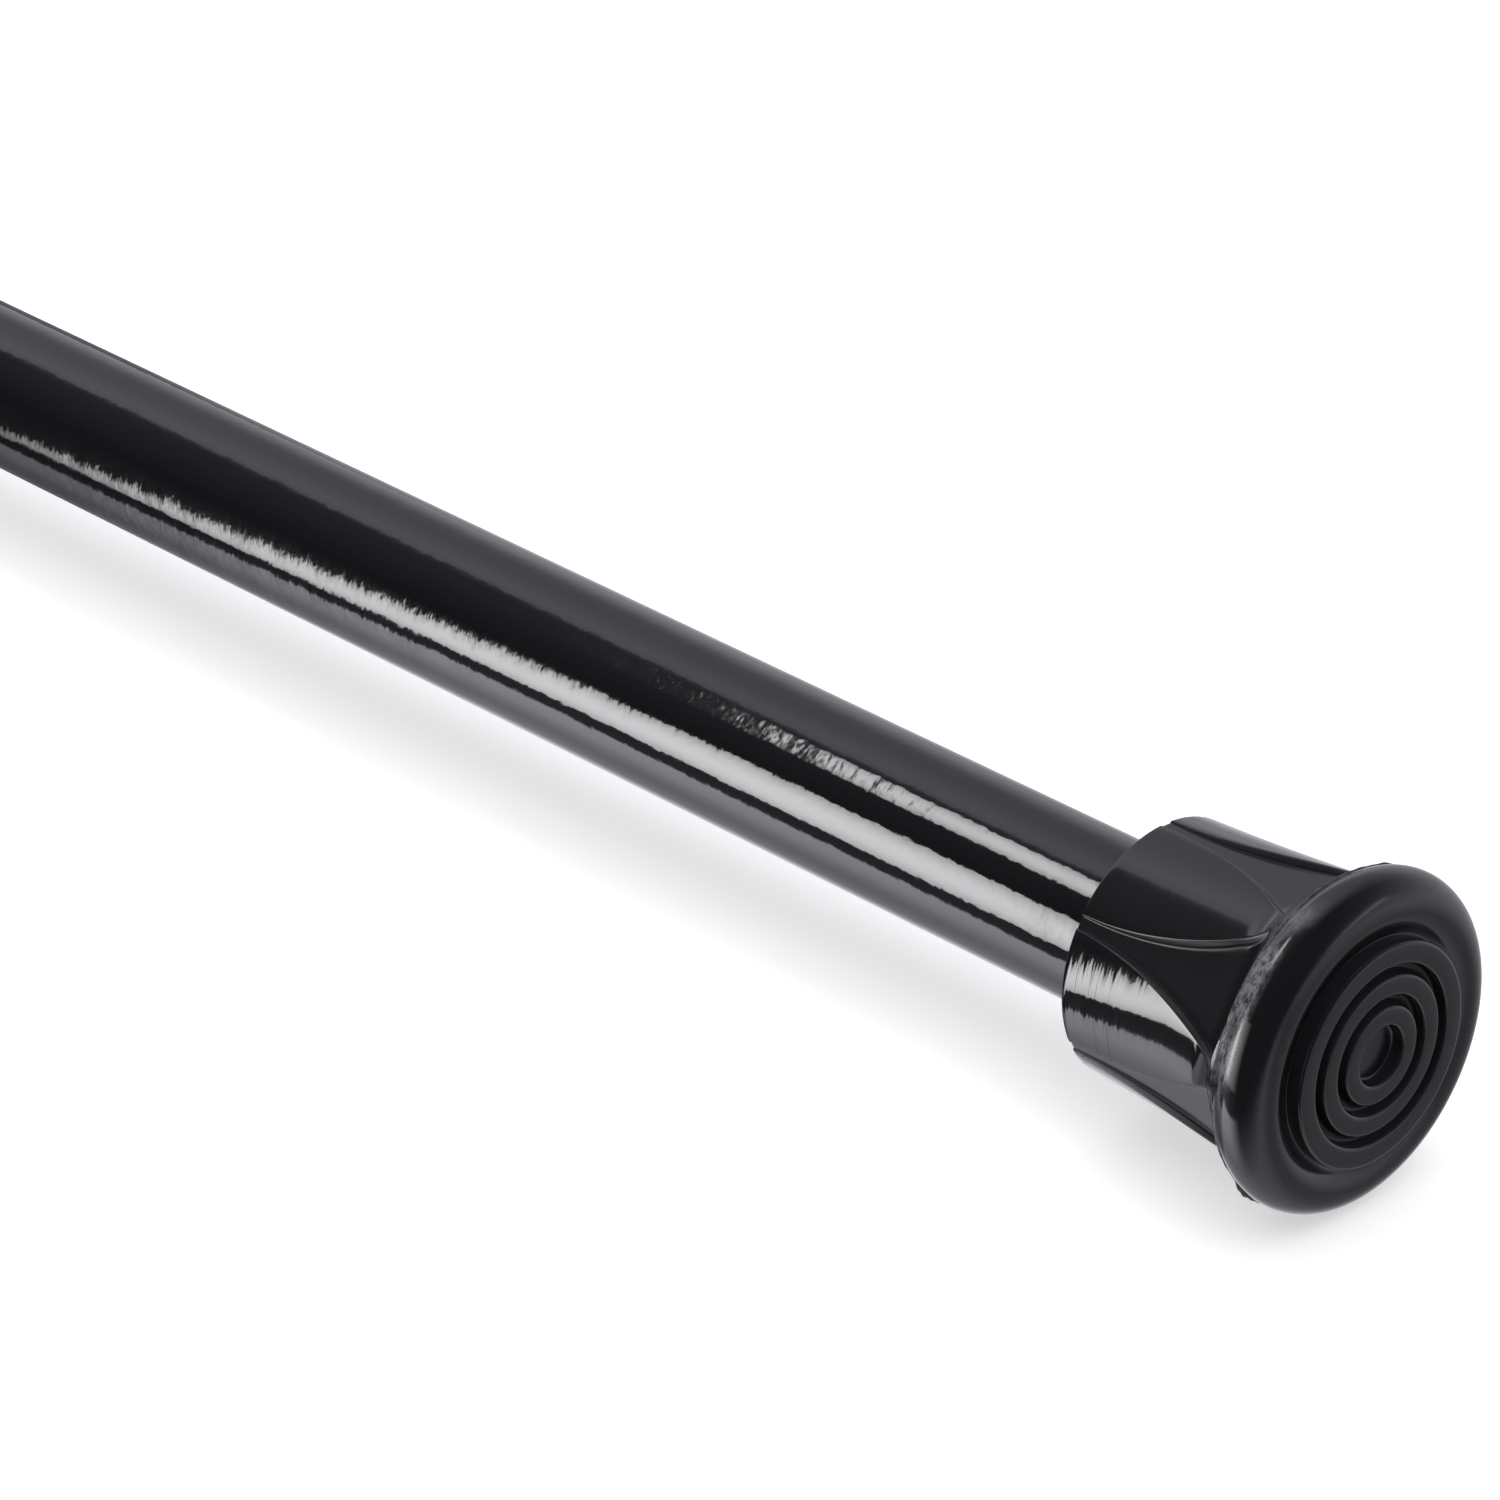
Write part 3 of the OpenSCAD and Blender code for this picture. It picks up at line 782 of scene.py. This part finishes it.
TOP_LEVEL = 3.4
"""At least the brightest level below, so that the colour ramps stay under 1."""
LEFT_LEVELS = (
    (-180, 0.58), (-150, 0.8), (-120, 0.95), (-103, 0.64), (-88, 0.75), (-75, 0.9), (-63, 1.5), (-53, 2.35),
    (-40, 3.2), (-37.5, 3.2), (-36, 0.25), (-20, 0.2), (20, 0.05), (60, 0.15), (80, 0.2), (85.5, 0.4),
    (88, 1.1), (97, 1.2), (104, 1.05), (116, 0.8), (128, 0.62), (142, 0.52), (150, 0.58), (160, 0.72),
    (170, 0.74))
"""Surroundings towards the inner foot, as (degrees from the near side upwards, brightness)."""
RIGHT_LEVELS = (
    (-180, 0.9), (-160, 0.7), (-142, 0.33), (-120, 0.38), (-100, 0.7), (-80, 0.9), (-60, 0.5), (-42, 0.15),
    (-30, 0.05), (110, 0.05), (135, 0.18), (160, 0.55), (172, 0.75))
"""The same, beyond the outer foot."""
FAR_LEFT_SINK = 15.0
"""Degrees by which the low surroundings sink at the far left, which also loses the share below."""
FAR_LEFT_LOSS = 0.72


def levels_round(tree, turn, levels):
    """A brightness that changes with the angle round the bar, from (degrees, brightness) pairs."""
    ramp_node = node(tree, "ValToRGB", {0: turn})
    stops = ramp_node.color_ramp.elements
    while len(stops) < len(levels):
        stops.new(0.5)
    for stop, (degrees, level) in zip(stops, levels):
        stop.position = (degrees + 180) / 360
        stop.color = [level / TOP_LEVEL * tint for tint in LIGHT_TINT[:3]] + [1]
    return ramp_node.outputs[0]


def studio_world():
    """White surroundings that change with the angle round the bar, and plain pale to the camera."""
    world = bpy.data.worlds.new("studio")
    bpy.context.scene.world = world
    world.use_nodes = True
    tree = world.node_tree
    tree.nodes.clear()
    look = node(tree, "SeparateXYZ", {0: node(tree, "TexCoord").outputs["Generated"]})
    near = times(tree, look.outputs[1], -1.0)
    angle = maths(tree, "DEGREES", maths(tree, "ARCTAN2", look.outputs[2], near))
    reach = maths(tree, "SQRT", maths(tree, "SUBTRACT", 1.0, maths(tree, "POWER", look.outputs[0], 2.0)))
    leftward = maths(tree, "DIVIDE", look.outputs[0], times(tree, reach, -1.0))
    far_left = map_range(tree, leftward, 0.88, 1.02)
    low_down = map_range(tree, angle, 20.0, -30.0)
    far_and_low = times(tree, far_left, low_down)
    turn = maths(tree, "ADD", angle, times(tree, far_and_low, FAR_LEFT_SINK), 180.0)
    turn = maths(tree, "DIVIDE", turn, 360.0)
    left = blend_colour(tree, times(tree, far_and_low, FAR_LEFT_LOSS), levels_round(tree, turn, LEFT_LEVELS),
                        (0, 0, 0, 1))
    side = map_range(tree, look.outputs[0], -0.4, 0.2, interpolation_type="SMOOTHSTEP")
    colour = blend_colour(tree, side, left, levels_round(tree, turn, RIGHT_LEVELS))
    around = node(tree, "Background", {"Color": colour, "Strength": TOP_LEVEL})
    behind = node(tree, "Background", {"Color": (1, 1, 1, 1), "Strength": 1.0})
    seen = node(tree, "LightPath").outputs["Is Camera Ray"]
    mix = node(tree, "MixShader", {0: seen, 1: around.outputs[0], 2: behind.outputs[0]})
    tree.links.new(mix.outputs[0], node(tree, "OutputWorld").inputs[0])


def pale_floor(tree):
    """Matt and near white. Only to the camera does it glow a little, which keeps the shadow on it light."""
    cloud = noise(tree, place(tree, (3, 3, 3)), detail=2)
    seen = node(tree, "LightPath").outputs["Is Camera Ray"]
    return {
        "Base Color": blend_colour(tree, cloud, (0.88, 0.88, 0.885, 1), (0.92, 0.92, 0.92, 1)),
        "Roughness": 0.9,
        "Specular IOR Level": 0.1,
        "Emission Color": (1, 1, 1, 1),
        "Emission Strength": times(tree, seen, 0.25),
    }


FLOOR_HALF = 30
FLOOR_GAP = 0.2 * MM


def make_floor():
    corners = [(-FLOOR_HALF, -FLOOR_HALF), (FLOOR_HALF, -FLOOR_HALF), (FLOOR_HALF, FLOOR_HALF),
               (-FLOOR_HALF, FLOOR_HALF)]
    floor = new_object("floor", [(x, y, FLOOR_Z - FLOOR_GAP) for x, y in corners], [(0, 1, 2, 3)])
    floor.data.materials.append(surface("pale_floor", pale_floor))
    floor.visible_glossy = False


def overhead_light():
    """A broad soft light for the floor; the bar doesn't mirror it."""
    data = bpy.data.lights.new("overhead", "SUN")
    data.energy = 2.9
    data.angle = math.radians(80)
    data.use_shadow = False
    lamp = bpy.data.objects.new("overhead", data)
    lamp.rotation_euler = (math.radians(12), math.radians(8), 0)
    lamp.visible_glossy = False
    bpy.context.scene.collection.objects.link(lamp)


studio_world()
make_floor()
overhead_light()

# ---------------------------------------------------------------- camera

SENSOR = 36.0
LENS = 151.3
CAMERA_AZIMUTH = math.radians(45.65)
CAMERA_ELEVATION = math.radians(28.42)
TREAD_FROM_CAMERA = (86.7 * MM, -42.0 * MM, 863.9 * MM)
"""Where the outer tread's centre is, to the right, up and away from the camera."""


def make_camera():
    data = bpy.data.cameras.new("camera")
    data.sensor_width = SENSOR
    data.lens = LENS
    data.clip_end = 100
    camera = bpy.data.objects.new("camera", data)
    bpy.context.scene.collection.objects.link(camera)
    azimuth, elevation = CAMERA_AZIMUTH, CAMERA_ELEVATION
    back = Vector((math.sin(azimuth) * math.cos(elevation), -math.cos(azimuth) * math.cos(elevation),
                   math.sin(elevation)))
    right = Vector((math.cos(azimuth), math.sin(azimuth), 0))
    up = back.cross(right)
    to_right, to_up, away = TREAD_FROM_CAMERA
    place_at = Vector((OUTER_TREAD, 0, 0)) - right * to_right - up * to_up + back * away
    camera.matrix_world = Matrix.Translation(place_at) @ Matrix((right, up, back)).transposed().to_4x4()
    bpy.context.scene.camera = camera


make_camera()
bpy.context.scene.view_settings.view_transform = "Standard"
